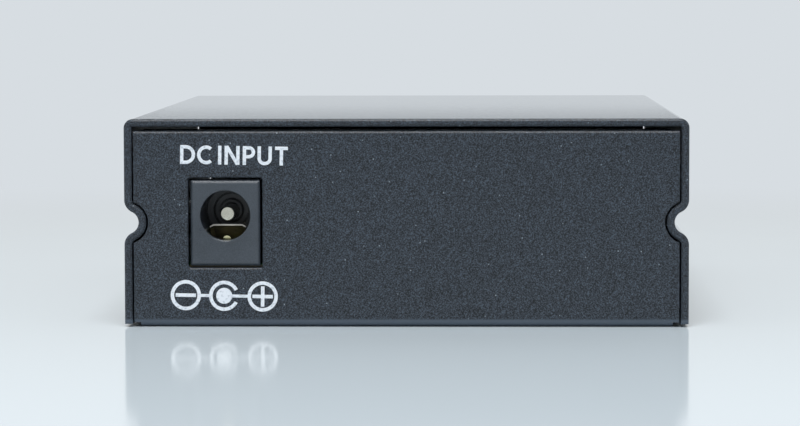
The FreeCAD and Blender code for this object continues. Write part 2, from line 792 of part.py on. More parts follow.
def ferrule_sleeves():
    axis = board_top + fibre_port_axis
    start = port_face - fibre_port_depth - ferrule_sleeve_seat
    length = ferrule_sleeve_seat + ferrule_sleeve_reach
    section = [(ferrule_bore / 2, 0), (ferrule_sleeve / 2, 0), (ferrule_sleeve / 2, length),
               (ferrule_bore / 2, length)]
    return [turned("+Y", (x, start, axis), section) for x in fibre_ports()]


def port_latches():
    """One moulding per port: a plate on the back wall with two hooked arms beside the sleeve."""
    axis = board_top + fibre_port_axis
    back = port_face - fibre_port_depth
    half = fibre_port_width / 2 - latch_side_gap
    tip = back + latch_plate + latch_arm_reach
    arm = [
        (half, back), (half, tip), (half - latch_arm, tip), (half - latch_arm - latch_hook, tip - latch_hook),
        (half - latch_arm, tip - 3 * latch_hook), (half - latch_arm, back),
    ]
    pieces = []
    for x in fibre_ports():
        right = prism("XY", arm, axis - latch_arm_height / 2, latch_arm_height)
        plate = block((-half, half), (back, back + latch_plate), about(axis, latch_plate_height))
        clip = joined([plate, right, mirrored(right)])
        hole = rod("Y", (0, back - 1, axis), ferrule_sleeve / 2 + latch_side_gap, latch_plate + 2)
        pieces.append(moved(clip.cut(hole), x, 0, 0))
    return pieces


def grounding_collar():
    """Sheet collar over the transceiver, with a spring wing on each side behind the panel."""
    inner = fibre_width / 2 + collar_gap
    outer = inner + collar_sheet
    roof = fibre_height + collar_gap
    section = [(-outer, 0), (-inner, 0), (-inner, roof), (inner, roof), (inner, 0), (outer, 0),
               (outer, roof + collar_sheet), (-outer, roof + collar_sheet)]
    front = panel_inner - collar_panel_gap
    band = prism("XZ", section, front - collar_length, collar_length)
    wall = outer - collar_sheet / 2
    wing_line = [(wall, front - collar_length / 2), (wall, front - fibre_wing), (outer + fibre_wing, front)]
    wing = prism("XY", strip(wing_line, collar_sheet), 2 * collar_sheet, fibre_height - 4 * collar_sheet)
    return moved(joined([band, wing, mirrored(wing)]), fibre_x, 0, board_top)


def fibre_pins():
    return [block(about(x, fibre_pin), about(y, fibre_pin), (tail_end, board_top))
            for x, y in fibre_pin_places()]


# ---- Indicator lamps

def lamp_peg_places():
    """Middle (x, y) of the light pipe's two pegs, between the arms."""
    bend = lamp_places()[0][2]
    return [(lamp_x + side * lamp_pitch / 2, bend) for side in (-1, 1)]


def light_pipe():
    """Arms from the windows back to a mirror bend and down to the lamps, on one bridge with pegs."""
    half = lamp_height / 2
    front = panel_outer + lamp_reach
    foot = board_top + lamp_chip[2] + lamp_chip_gap
    places = lamp_places()
    pieces = []
    for x, z, bend in places:
        side_view = [
            (front, z - half), (front, z + half), (bend + half, z + half), (bend - half, z - half),
            (bend - half, foot), (bend + half, foot), (bend + half, z - half),
        ]
        pieces.append(prism("YZ", side_view, x - lamp_width / 2, lamp_width))
    x = (places[0][0] - lamp_width / 2, places[-1][0] + lamp_width / 2)
    bridge_y = about(places[0][2], lamp_bridge)
    pieces.append(block(x, bridge_y, (foot + lamp_bridge, places[-1][1])))
    for x, y in lamp_peg_places():
        pieces.append(block(about(x, lamp_peg), bridge_y, (board_bottom, foot + 2 * lamp_bridge)))
    return joined(pieces)


def status_lamps():
    length, width, height = lamp_chip
    return [block(about(x, length), about(bend, width), (board_top, board_top + height))
            for x, z, bend in lamp_places()]


# ---- Parts on the board

def chip(size, sides, lead_count, lead_pitch):
    """Moulded body on the board at the origin, on rows of leads that bend down to the board."""
    length, width, height = size
    pieces = [block(about(0, length), about(0, width), (chip_lift, chip_lift + height))]
    for side in sides:
        reach = (length if side in "EW" else width) / 2
        middle = chip_lift + min(height / 2, lead_top)
        toe = reach + lead_shoulder + lead_slope
        line = [(reach - lead_root, middle), (reach + lead_shoulder, middle), (toe, lead_sheet / 2),
                (toe + lead_foot, lead_sheet / 2)]
        wide = lead_pitch * lead_width_share
        for n in range(lead_count):
            y = (n - (lead_count - 1) / 2) * lead_pitch
            lead = prism("XZ", strip(line, lead_sheet), y - wide / 2, wide)
            lead.rotate(V(0, 0, 0), V(0, 0, 1), "ENWS".index(side) * 90)
            pieces.append(lead)
    return joined(pieces)


def chip_reach(name):
    """Half of a chip's span along Y, over its leads."""
    return chips[name]["size"][1] / 2 + lead_shoulder + lead_slope + lead_foot


def chip_places():
    """Middle (x, y) of each chip."""
    transceiver_end = port_face - fibre_length
    capacitor_end = max(y for x, y in capacitor_spots) + capacitor_foot[0] / 2 - board_end
    jack_end = port_face - network_depth - transformer_space
    return {
        "converter_chip": (converter_x, (transceiver_end + capacitor_end) / 2),
        "network_chip": (network_chip_x, transceiver_end - network_chip_space - chip_reach("network_chip")),
        "network_transformer": (network_x, jack_end - chip_reach("network_transformer")),
        "voltage_regulator": (regulator_spot[0], regulator_spot[1] - board_end),
    }


def timing_crystal():
    length, width, height = crystal_can

    def slot_shape(grow):
        end = (length - width) / 2
        radius = width / 2 + grow
        return [(radius, -end), (0, end, radius, 0, 180), (0, -end, radius, 180, 360)]

    can = prism("XY", slot_shape(0), 0, height)
    brim = prism("XY", slot_shape(crystal_brim), 0, crystal_brim)
    x, y = chip_places()["converter_chip"]
    return moved(joined([can, brim]), x + crystal_from_converter, y, board_top)


def power_inductor():
    length, width, height = inductor_size
    half_x = length / 2 - inductor_corner
    half_y = width / 2 - inductor_corner
    corners = [(half_x, -half_y, -90), (half_x, half_y, 0), (-half_x, half_y, 90), (-half_x, -half_y, 180)]
    shape = [(x, y, inductor_corner, turn, turn + 90) for x, y, turn in corners]
    radius, depth = inductor_well
    body = prism("XY", shape, 0, height).cut(rod("Z", (0, 0, height - depth), radius, 2 * depth))
    return moved(body, inductor_spot[0], inductor_spot[1] - board_end, board_top)


def input_diode():
    length, width, height = diode_size
    clip_width, clip_sheet = diode_clip
    body = block(about(0, length), about(0, width), (clip_sheet, height))
    line = [(length / 2 - clip_width, clip_sheet / 2), (length / 2 + clip_sheet / 2, clip_sheet / 2),
            (length / 2 + clip_sheet / 2, height / 2)]
    clip = prism("XZ", strip(line, clip_sheet), -width / 4, width / 2)
    return moved(joined([body, clip, mirrored(clip)]), diode_spot[0], diode_spot[1] - board_end, board_top)


def input_capacitors():
    side, foot = capacitor_foot
    radius = capacitor_diameter / 2
    can = rod("Z", (0, 0, foot), radius, capacitor_height - foot)
    cut = side / 5
    half = side / 2
    base = prism("XY", [(-half, -half), (half, -half), (half, half - cut), (half - cut, half),
                        (-half + cut, half), (-half, half - cut)], 0, foot)
    capacitor = joined([can, base])
    return [moved(capacitor, x, y - board_end, board_top) for x, y in capacitor_spots]


def chip_passives():
    length, width, height = passive_size
    pieces = []
    for name, across, along, row_length in passive_rows:
        x, y = chip_places()[name]
        steps = round(row_length / passive_step)
        for n in range(steps + 1):
            middle = x + across + (n - steps / 2) * passive_step
            pieces.append(block(about(middle, width), about(y + along, length),
                                (board_top, board_top + height)))
    return pieces


nodes = {
    "top_cover": top_cover(),
    "base_tray": base_tray(),
    "cover_screws": cover_screws(),
    "main_board": main_board(),
    "board_standoffs": board_standoffs(),
    "board_screws": board_screws(),
    "dc_jack_body": jack_body(),
    "dc_jack_pin": jack_pin_piece(),
    "dc_jack_leaf": jack_leaf(),
    "dc_jack_terminal": jack_terminal(),
    "network_jack_shield": network_shield(),
    "network_jack_housing": network_housing(),
    "network_jack_contacts": network_contacts(),
    "fibre_housing": fibre_housing(),
    "fibre_sleeves": ferrule_sleeves(),
    "fibre_latches": port_latches(),
    "fibre_collar": grounding_collar(),
    "fibre_pins": fibre_pins(),
    "light_pipe": light_pipe(),
    "status_lamps": status_lamps(),
    "timing_crystal": timing_crystal(),
    "power_inductor": power_inductor(),
    "input_diode": input_diode(),
    "input_capacitors": input_capacitors(),
    "chip_passives": chip_passives(),
}
for name, (x, y) in chip_places().items():
    nodes[name] = moved(chip(**chips[name]), x, y, board_top)

os.makedirs("parts", exist_ok=True)
for name, shape in nodes.items():
    solids = shape if isinstance(shape, list) else [shape]
    Part.makeCompound([s for piece in solids for s in piece.Solids]).exportStep(f"parts/{name}.step")
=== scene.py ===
import bpy
import numpy as np
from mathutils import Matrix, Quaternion, Vector


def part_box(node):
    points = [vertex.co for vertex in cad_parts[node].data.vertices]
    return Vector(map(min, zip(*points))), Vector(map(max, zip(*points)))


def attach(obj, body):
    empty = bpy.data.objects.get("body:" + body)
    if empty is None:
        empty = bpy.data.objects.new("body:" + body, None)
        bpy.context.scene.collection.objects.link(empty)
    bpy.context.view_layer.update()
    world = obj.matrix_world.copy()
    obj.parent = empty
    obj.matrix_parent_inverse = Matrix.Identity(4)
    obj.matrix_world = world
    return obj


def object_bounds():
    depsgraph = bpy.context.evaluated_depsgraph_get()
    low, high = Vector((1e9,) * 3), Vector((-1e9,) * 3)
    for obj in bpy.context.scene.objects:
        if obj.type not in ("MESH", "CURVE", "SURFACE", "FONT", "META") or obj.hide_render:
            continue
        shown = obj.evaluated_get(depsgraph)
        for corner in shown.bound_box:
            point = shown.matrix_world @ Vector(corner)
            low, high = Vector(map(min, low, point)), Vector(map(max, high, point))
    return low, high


# A small fibre media converter in a folded steel case, seen from its power inlet side.
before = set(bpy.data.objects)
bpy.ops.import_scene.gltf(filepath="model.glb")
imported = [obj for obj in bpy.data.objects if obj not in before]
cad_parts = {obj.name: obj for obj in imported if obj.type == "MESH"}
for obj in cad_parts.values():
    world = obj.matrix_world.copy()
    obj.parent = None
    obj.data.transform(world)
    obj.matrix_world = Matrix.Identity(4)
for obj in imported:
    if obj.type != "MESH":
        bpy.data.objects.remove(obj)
cadLow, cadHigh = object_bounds()
bpy.context.scene.view_settings.view_transform = "Standard"
millimetre = 0.001
print("frame loaded,", len(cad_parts), "solid pieces")


def linearColour(hexText):
    # sRGB hex to linear red, green, blue and alpha: the power 2.4 curve, straight near black
    text = hexText.lstrip("#")
    screen = np.array([int(text[i:i + 2], 16) for i in (0, 2, 4)]) / 255.0
    linear = np.where(screen <= 0.04045, screen / 12.92, ((screen + 0.055) / 1.055) ** 2.4)
    return (*linear.tolist(), 1.0)


def addNode(tree, kind, settings=None, links=None):
    # one node. Settings go to its attributes, its input sockets or its ramp's (position, sRGB hex)
    # steps. Links are {input: what it is read from}, a node's first output or one output given.
    # Inputs that share a name go by number: a Mix has its factor at 0, values at 2 and 3, colours at
    # 6 and 7, and its mixed colour is output 2
    node = tree.nodes.new(kind)
    for key, value in (settings or {}).items():
        if key == "steps":
            for element, (place, hexText) in zip(node.color_ramp.elements, value):
                element.position = place
                element.color = linearColour(hexText)
        elif isinstance(key, int) or key in node.inputs:
            node.inputs[key].default_value = value
        else:
            setattr(node, key, value)
    for key, source in (links or {}).items():
        tree.links.new(source.outputs[0] if hasattr(source, "outputs") else source, node.inputs[key])
    return node


def gridFaces(rows, columns, closed):
    # quads of a rows by columns grid, numbered row by row, joined round when closed
    index = np.arange(rows * columns).reshape(rows, columns)
    after = np.roll(index, -1, axis=0) if closed else index[1:]
    here = index if closed else index[:-1]
    corners = [here[:, :-1], after[:, :-1], after[:, 1:], here[:, 1:]]
    return np.stack(corners, axis=-1).reshape(-1, 4).tolist()


def emptyMaterial(name):
    # a new material and its node tree, which is still empty
    material = bpy.data.materials.new(name)
    material.use_nodes = True
    material.node_tree.nodes.clear()
    return material, material.node_tree


grainTurn = (0.5, 0.7, 0.4)     # radians, so that a noise's own lattice lies along no edge
noiseSpan = {"From Min": 0.3, "From Max": 0.7}  # most of a noise's values lie between these
bevelSamples = 4                # per look at an edge that is rounded in the shading


def grain(tree, spacing, stretch=(1, 1, 1), detail=2.0, roughness=0.5):
    # a noise pattern whose lumps stand about one spacing (metres) apart. A stretch under 1 draws
    # them out along that axis
    place = addNode(tree, "ShaderNodeTexCoord").outputs["Object"]
    turned = addNode(tree, "ShaderNodeMapping", {"Scale": stretch, "Rotation": grainTurn},
                     {"Vector": place})
    return addNode(tree, "ShaderNodeTexNoise",
                   {"Scale": 1.0 / spacing, "Detail": detail, "Roughness": roughness}, {"Vector": turned})


def finishSurface(tree, settings, links):
    # the surface shader and its output
    shader = addNode(tree, "ShaderNodeBsdfPrincipled", settings, links)
    addNode(tree, "ShaderNodeOutputMaterial", links={"Surface": shader})


# camera: a long lens a little right of the middle and a little above the case
viewSettings = {
    "distance": 0.400,          # from the inlet face
    "aside": 0.0101,
    "height": 0.0428,
    "aimAside": -0.00077,
    "aimHeight": 0.01484,
    "roll": -0.12,              # degrees
    "lens": 139.8,              # focal length and sensor width, in millimetres
    "sensor": 36.0,
    "clip": (0.01, 30.0),
}


def placeCamera(settings):
    # it stands square in front of the inlet face, looks at a point on that face and leans by the roll
    faceY = cadLow.y
    middleX = (cadLow.x + cadHigh.x) / 2
    spot = Vector((middleX + settings["aside"], faceY - settings["distance"],
                   cadLow.z + settings["height"]))
    aim = Vector((middleX + settings["aimAside"], faceY, cadLow.z + settings["aimHeight"]))
    camera = bpy.data.objects.new("camera", bpy.data.cameras.new("camera"))
    camera.data.lens = settings["lens"]
    camera.data.sensor_width = settings["sensor"]
    camera.data.clip_start, camera.data.clip_end = settings["clip"]
    camera.location = spot
    camera.rotation_mode = "QUATERNION"
    level = (aim - spot).to_track_quat("-Z", "Y")
    camera.rotation_quaternion = level @ Quaternion((0, 0, 1), np.radians(settings["roll"]))
    bpy.context.collection.objects.link(camera)
    bpy.context.scene.camera = camera


placeCamera(viewSettings)
print("camera placed")

# stage: a pale lacquered table top that runs out into an even pale room
stageSettings = {
    "table": "#cad5dc",
    "fadeFrom": 0.125,          # metres from the middle of the case, where the table starts to fade
    "fadeTo": 0.270,
    "gloss": 0.86,              # share of the table's mirror image that shows
    "imageTint": "#f4eee8",
    "polish": 0.10,             # roughness of that image
    "lacquer": 1.45,            # index of refraction
    "reach": 8.0,
    "lines": 5,                 # of the table's grid, each way
    "room": "#d7dde2",
    "light": "#dfe2e5",         # what the room sends onto things
    "backLight": 1.00,          # its strength from behind the case
    "frontLight": 0.22,         # and from behind the camera
    "backFrom": 0.90,           # where each begins: 1 is straight back and -1 straight to the camera
    "frontFrom": -0.50,
}


def layTable(settings):
    # a flat square grid at the height the case stands on
    reach = settings["reach"]
    steps = np.linspace(-reach, reach, settings["lines"])
    across, along = np.meshgrid(steps, steps, indexing="ij")
    points = np.stack([across, along, np.full_like(across, cadLow.z)], axis=-1).reshape(-1, 3)
    mesh = bpy.data.meshes.new("table_top")
    mesh.from_pydata(points.tolist(), [], gridFaces(settings["lines"], settings["lines"], False))
    table = bpy.data.objects.new("table_top", mesh)
    bpy.context.collection.objects.link(table)

    # lacquered board: a plain diffuse body with a soft mirror image that grows at low angles
    material, tree = emptyMaterial("lacqueredTable")
    body = addNode(tree, "ShaderNodeBsdfDiffuse", {"Color": linearColour(settings["table"])})
    image = addNode(tree, "ShaderNodeBsdfGlossy",
                    {"Color": linearColour(settings["imageTint"]), "Roughness": settings["polish"]})
    angle = addNode(tree, "ShaderNodeFresnel", {"IOR": settings["lacquer"]})
    share = addNode(tree, "ShaderNodeMath", {"operation": "MULTIPLY", 1: settings["gloss"]}, {0: angle})
    near = addNode(tree, "ShaderNodeMixShader", links={"Fac": share, 1: body, 2: image})
    # further out it takes the room's own colour, so that no edge or horizon shows
    place = addNode(tree, "ShaderNodeTexCoord").outputs["Object"]
    away = addNode(tree, "ShaderNodeVectorMath", {"operation": "LENGTH"}, {0: place})
    fade = addNode(tree, "ShaderNodeMapRange",
                   {"interpolation_type": "SMOOTHSTEP",
                    "From Min": settings["fadeFrom"], "From Max": settings["fadeTo"]},
                   {"Value": away.outputs["Value"]})
    far = addNode(tree, "ShaderNodeEmission",
                  {"Color": linearColour(settings["room"]), "Strength": 1.0})
    mixed = addNode(tree, "ShaderNodeMixShader", links={"Fac": fade, 1: near, 2: far})
    addNode(tree, "ShaderNodeOutputMaterial", links={"Surface": mixed})
    mesh.materials.append(material)


def lightRoom(settings):
    # the camera, mirror images and clear plastic see the room in its own even colour. Its light falls
    # on things at a level that goes down from behind the case to behind the camera
    world = bpy.data.worlds.new("paleRoom")
    world.use_nodes = True
    bpy.context.scene.world = world
    tree = world.node_tree
    tree.nodes.clear()
    ray = addNode(tree, "ShaderNodeLightPath")
    direct = addNode(tree, "ShaderNodeMath", {"operation": "MAXIMUM"},
                     {0: ray.outputs["Is Camera Ray"], 1: ray.outputs["Is Transmission Ray"]})
    seen = addNode(tree, "ShaderNodeMath", {"operation": "MAXIMUM"},
                   {0: direct, 1: ray.outputs["Is Glossy Ray"]})
    way = addNode(tree, "ShaderNodeSeparateXYZ",
                  links={"Vector": addNode(tree, "ShaderNodeTexCoord").outputs["Generated"]})
    level = addNode(tree, "ShaderNodeMapRange",
                    {"From Min": settings["frontFrom"], "From Max": settings["backFrom"],
                     "To Min": settings["frontLight"], "To Max": settings["backLight"]},
                    {"Value": way.outputs["Y"]})
    lit = addNode(tree, "ShaderNodeBackground", {"Color": linearColour(settings["light"])},
                  {"Strength": level})
    shown = addNode(tree, "ShaderNodeBackground",
                    {"Color": linearColour(settings["room"]), "Strength": 1.0})
    mixed = addNode(tree, "ShaderNodeMixShader", links={"Fac": seen, 1: lit, 2: shown})
    addNode(tree, "ShaderNodeOutputWorld", links={"Surface": mixed})


# soft boxes, in metres from the middle of the case's base
lampSettings = {
    "overhead_box": {"place": (0.0, -0.42, 1.05), "size": (0.50, 0.44), "watts": 11.5},
    "front_high_box": {"place": (-0.12, -0.90, 0.80), "size": (0.40, 0.30), "watts": 3.4},
    "left_box": {"place": (-0.95, -0.75, 0.45), "size": (0.7, 0.7), "watts": 1.8},
    "right_box": {"place": (0.95, -0.85, 0.45), "size": (0.7, 0.7), "watts": 1.4},
}


def hangLamps(settings):
    # rectangular lamps, each turned towards the middle of the case's base
    for name, lampSetting in settings.items():
        data = bpy.data.lights.new(name, "AREA")
        data.shape = "RECTANGLE"
        data.size, data.size_y = lampSetting["size"]
        data.energy = lampSetting["watts"]
        lamp = bpy.data.objects.new(name, data)
        lamp.location = lampSetting["place"]
        lamp.rotation_mode = "QUATERNION"
        lamp.rotation_quaternion = (-Vector(lampSetting["place"])).to_track_quat("-Z", "Y")
        bpy.context.collection.objects.link(lamp)


layTable(stageSettings)
lightRoom(stageSettings)
hangLamps(lampSettings)
print("table, room and", len(lampSettings), "soft boxes in place")

# powder coat: black polyester powder baked on sheet steel. It looks dark blue-grey, with a fine
# pebbled skin that mottles the light, and a few painted glints: small discs of lighter colour. At a
# very low angle the pebbles hide behind each other and the coat shines like a glaze. It builds up
# round over every edge
powderSettings = {
    "deep": "#05080c",
    "body": "#46505c",
    "deepAt": 0.44,                 # the grain is deep up to this level, and all body from the next
    "bodyAt": 0.76,
    "glintPaint": "#78818a",            # painted glints: the lighter colour of a few small scattered discs
    "resin": 1.5,                   # index of refraction
    "mirror": 0.36,                 # strength of its plain reflection, 0.5 being that of clear resin
    "roughness": 0.34,
    "smoother": 0.05,               # by this on the pebbles' tops
    "rougher": 0.07,                # and by this between them
    "pebble": 0.36 * millimetre,
    "skinDepth": 0.036 * millimetre,
    "fine": 0.17 * millimetre,      # true grit is near 0.1 mm, drawn coarser so that it shows
    "fineDepth": 0.020 * millimetre,
    "flock": 0.9 * millimetre,      # size of the places where the powder lay a little thicker
    "flockShare": 0.08,             # what they add to the tone
    "build": 0.24 * millimetre,     # radius over the edges
    "glints": 1.6 * millimetre,     # their spacing
    "glintSize": 0.07,              # their radius, in spacings
    "glintHeart": 0.6,              # share of the radius where the painted glint is at full colour
    "glazeFrom": 0.9525,            # how far from square-on the view is, 1 being edge-on
    "glazeTo": 0.9665,
    "glaze": 0.03,                  # roughness there
    "glazeGrain": 0.02,             # share of the pebbles' bump left there
    "foldSheenFrom": 1.2 * millimetre,    # height under which the lowest fold is painted lighter: a painted reflection of the bright table
    "foldSheenTo": 0.8 * millimetre,
}


def powderCoat(name, settings):
    # fine grain with a little flock sets the tone, and the painted glints and the painted table reflection on
    # the lowest fold go over it. Pebbles and grit bump the rounded edges. Bump and roughness both give way to
    # the glaze at low angles
    material, tree = emptyMaterial(name)
    pebble = grain(tree, settings["pebble"], detail=1.5)
    fine = grain(tree, settings["fine"], detail=2.0, roughness=0.6)
    flock = grain(tree, settings["flock"], detail=2.0)
    tone = addNode(tree, "ShaderNodeMath",
                   {"operation": "MULTIPLY_ADD", 1: settings["flockShare"]}, {0: flock, 2: fine})
    body = addNode(tree, "ShaderNodeValToRGB",
                   {"steps": [(settings["deepAt"], settings["deep"]),
                              (settings["bodyAt"], settings["body"])]}, {"Fac": tone})
    # painted glints: small scattered discs of a lighter colour put into the coat's colour
    glintCells = addNode(tree, "ShaderNodeTexVoronoi", {"Scale": 1.0 / settings["glints"]},
                     {"Vector": addNode(tree, "ShaderNodeTexCoord").outputs["Object"]})
    glint = addNode(tree, "ShaderNodeMapRange",
                    {"From Min": settings["glintSize"],
                     "From Max": settings["glintSize"] * settings["glintHeart"]},
                    {"Value": glintCells})
    colour = addNode(tree, "ShaderNodeMix",
                     {"data_type": "RGBA", 7: linearColour(settings["glintPaint"])}, {0: glint, 6: body})
    # painted reflection: the lowest fold faces down to the bright table, so it is painted in the plain body
    # colour, without its dark grain, to show lighter
    height = addNode(tree, "ShaderNodeSeparateXYZ",
                     links={"Vector": addNode(tree, "ShaderNodeTexCoord").outputs["Object"]})
    foldSheen = addNode(tree, "ShaderNodeMapRange",
                  {"interpolation_type": "SMOOTHSTEP",
                   "From Min": settings["foldSheenFrom"], "From Max": settings["foldSheenTo"]},
                  {"Value": height.outputs["Z"]})
    sheenedColour = addNode(tree, "ShaderNodeMix",
                   {"data_type": "RGBA", 7: linearColour(settings["body"])}, {0: foldSheen, 6: colour.outputs[2]})
    edgeOn = addNode(tree, "ShaderNodeLayerWeight", {"Blend": 0.5})
    low = addNode(tree, "ShaderNodeMapRange",
                  {"From Min": settings["glazeFrom"], "From Max": settings["glazeTo"]},
                  {"Value": edgeOn.outputs["Facing"]})
    dull = addNode(tree, "ShaderNodeMapRange",
                   {**noiseSpan, "To Min": settings["roughness"] + settings["rougher"],
                    "To Max": settings["roughness"] - settings["smoother"]},
                   {"Value": pebble})
    shine = addNode(tree, "ShaderNodeMix", {3: settings["glaze"]}, {0: low, 2: dull})
    standing = addNode(tree, "ShaderNodeMapRange",
                       {"To Min": 1.0, "To Max": settings["glazeGrain"]}, {"Value": low})
    rounded = addNode(tree, "ShaderNodeBevel", {"samples": bevelSamples, "Radius": settings["build"]})
    skin = addNode(tree, "ShaderNodeBump", {"Distance": settings["skinDepth"]},
                   {"Height": pebble, "Strength": standing, "Normal": rounded})
    grit = addNode(tree, "ShaderNodeBump", {"Distance": settings["fineDepth"]},
                   {"Height": fine, "Strength": standing, "Normal": skin})
    finishSurface(tree, {"IOR": settings["resin"], "Specular IOR Level": settings["mirror"]},
                  {"Base Color": sheenedColour.outputs[2], "Roughness": shine, "Normal": grit})
    return material


# moulded plastics: a spark-eroded mould leaves an even fine grain, a slightly cloudy gloss where the
# melt flowed, and edges a little round. Lengths in millimetres
plasticSettings = {
    "mouldedJackNylon": {
        "deep": "#272e35", "body": "#383f47", "roughness": 0.32, "spark": 0.16, "depth": 0.006, "edge": 0.34},
    "mouldedPortPolyester": {
        "deep": "#17181a", "body": "#212326", "roughness": 0.48, "spark": 0.18, "depth": 0.008, "edge": 0.10},
    "mouldedLatchPolyester": {
        "deep": "#1f4c86", "body": "#2a62a8", "roughness": 0.40, "spark": 0.18, "depth": 0.006, "edge": 0.08},
    "mouldedChipEpoxy": {
        "deep": "#161617", "body": "#232325", "roughness": 0.62, "spark": 0.22, "depth": 0.010, "edge": 0.08},
    "castLampResin": {
        "deep": "#d8c98c", "body": "#efe6b8", "roughness": 0.22, "spark": 0.40, "depth": 0.002, "edge": 0.05},
}
mouldSettings = {
    "melt": 1.52,                   # index of refraction
    "flow": 4.0 * millimetre,       # width of the clouds, which run out along the part's length
    "flowRun": (1.0, 0.35, 1.0),
    "flowShare": 0.6,               # what the clouds add to the spark grain's tone
    "deepAt": 0.55,
    "bodyAt": 1.0,
    "smoother": 0.05,               # by this in the darker clouds
    "rougher": 0.06,                # and by this in the lighter
    "grainStrength": 0.6,
}


def mouldedPlastic(name, settings):
    # the clouds of the flow and the spark grain add up to the tone, the clouds alone set the gloss,
    # and the spark grain bumps the rounded edges
    mould = mouldSettings
    material, tree = emptyMaterial(name)
    spark = grain(tree, settings["spark"] * millimetre, detail=2.0)
    flow = grain(tree, mould["flow"], stretch=mould["flowRun"], detail=3.0)
    tone = addNode(tree, "ShaderNodeMath", {"operation": "MULTIPLY_ADD", 1: mould["flowShare"]},
                   {0: flow, 2: spark})
    colour = addNode(tree, "ShaderNodeValToRGB",
                     {"steps": [(mould["deepAt"], settings["deep"]), (mould["bodyAt"], settings["body"])]},
                     {"Fac": tone})
    dull = addNode(tree, "ShaderNodeMapRange",
                   {**noiseSpan, "To Min": settings["roughness"] - mould["smoother"],
                    "To Max": settings["roughness"] + mould["rougher"]},
                   {"Value": flow})
    rounded = addNode(tree, "ShaderNodeBevel",
                      {"samples": bevelSamples, "Radius": settings["edge"] * millimetre})
    skin = addNode(tree, "ShaderNodeBump",
                   {"Distance": settings["depth"] * millimetre, "Strength": mould["grainStrength"]},
                   {"Height": spark, "Normal": rounded})
    finishSurface(tree, {"IOR": mould["melt"]}, {"Base Color": colour, "Roughness": dull, "Normal": skin})
    return material


# plated and plain metals: rolled or drawn, so a fine grain runs one way under a tarnish that clouds
# the shine. Grain in millimetres, and the run is under 1 along the way it is drawn out
metalSettings = {
    "tinPlatedSteel": {
        "deep": "#a9abab", "body": "#cfd0ce", "low": 0.24, "high": 0.40, "grain": 0.10, "run": (1, 0.04, 1)},
    "zincPlatedSteel": {
        "deep": "#a5a9a6", "body": "#c9ccca", "low": 0.28, "high": 0.42, "grain": 0.12, "run": (1, 1, 0.2)},
    "nickelPlatedPin": {
        "deep": "#b7b4a6", "body": "#dad8cb", "low": 0.14, "high": 0.26, "grain": 0.08, "run": (1, 0.05, 1)},
    "springSteel": {
        "deep": "#8f8b84", "body": "#c6c2ba", "low": 0.34, "high": 0.44, "grain": 0.08, "run": (1, 0.05, 1)},
    "plainBrass": {
        "deep": "#d0ca98", "body": "#f2f0c6", "low": 0.10, "high": 0.20, "grain": 0.09, "run": (1, 0.06, 1)},
    "goldFlashedBronze": {
        "deep": "#c19a4b", "body": "#e6c67a", "low": 0.16, "high": 0.28, "grain": 0.08, "run": (1, 0.1, 1)},
    "blackZincSteel": {
        "deep": "#2a2a2d", "body": "#45464a", "low": 0.30, "high": 0.44, "grain": 0.14, "run": (1, 1, 0.3)},
    "drawnAluminium": {
        "deep": "#b4b6b8", "body": "#d8dadb", "low": 0.26, "high": 0.38, "grain": 0.12, "run": (1, 1, 0.08)},
}
tarnishSettings = {
    "cloud": 2.5 * millimetre,
    "deepAt": 0.3,
    "bodyAt": 0.7,
    "drawDepth": 0.004 * millimetre,    # of the drawn grain
    "drawStrength": 0.5,
}


def workedMetal(name, settings):
    # the tarnish's clouds set the colour and the roughness, and the drawn grain bumps it
    tarnish = tarnishSettings
    material, tree = emptyMaterial(name)
    drawn = grain(tree, settings["grain"] * millimetre, stretch=settings["run"], detail=2.0)
    cloud = grain(tree, tarnish["cloud"], detail=3.0, roughness=0.6)
    colour = addNode(tree, "ShaderNodeValToRGB",
                     {"steps": [(tarnish["deepAt"], settings["deep"]),
                                (tarnish["bodyAt"], settings["body"])]}, {"Fac": cloud})
    dull = addNode(tree, "ShaderNodeMapRange",
                   {**noiseSpan, "To Min": settings["high"], "To Max": settings["low"]}, {"Value": cloud})
    skin = addNode(tree, "ShaderNodeBump",
                   {"Distance": tarnish["drawDepth"], "Strength": tarnish["drawStrength"]}, {"Height": drawn})
    finishSurface(tree, {"Metallic": 1.0}, {"Base Color": colour, "Roughness": dull, "Normal": skin})
    return material


# fired and pressed parts: zirconia sleeves, chip capacitors and ferrite, matt with fine dark and
# light specks. Specks in millimetres
firedSettings = {
    "groundZirconia": {"deep": "#d9d7cc", "body": "#f0eee6", "roughness": 0.16, "speck": 0.25},
    "firedChipCeramic": {"deep": "#7d6a52", "body": "#a89170", "roughness": 0.45, "speck": 0.20},
    "pressedFerrite": {"deep": "#27282a", "body": "#3d3f42", "roughness": 0.66, "speck": 0.18},
}
firingSettings = {
    "oxide": 1.9,                   # index of refraction
    "deepAt": 0.35,
    "bodyAt": 0.65,
    "skinDepth": 0.005 * millimetre,
    "skinStrength": 0.5,
}


def firedCeramic(name, settings):
    # one speckle gives both the tone and a very low bump
    firing = firingSettings
    material, tree = emptyMaterial(name)
    speck = grain(tree, settings["speck"] * millimetre, detail=3.0, roughness=0.7)
    colour = addNode(tree, "ShaderNodeValToRGB",
                     {"steps": [(firing["deepAt"], settings["deep"]), (firing["bodyAt"], settings["body"])]},
                     {"Fac": speck})
    skin = addNode(tree, "ShaderNodeBump",
                   {"Distance": firing["skinDepth"], "Strength": firing["skinStrength"]}, {"Height": speck})
    finishSurface(tree, {"IOR": firing["oxide"], "Roughness": settings["roughness"]},
                  {"Base Color": colour, "Normal": skin})
    return material
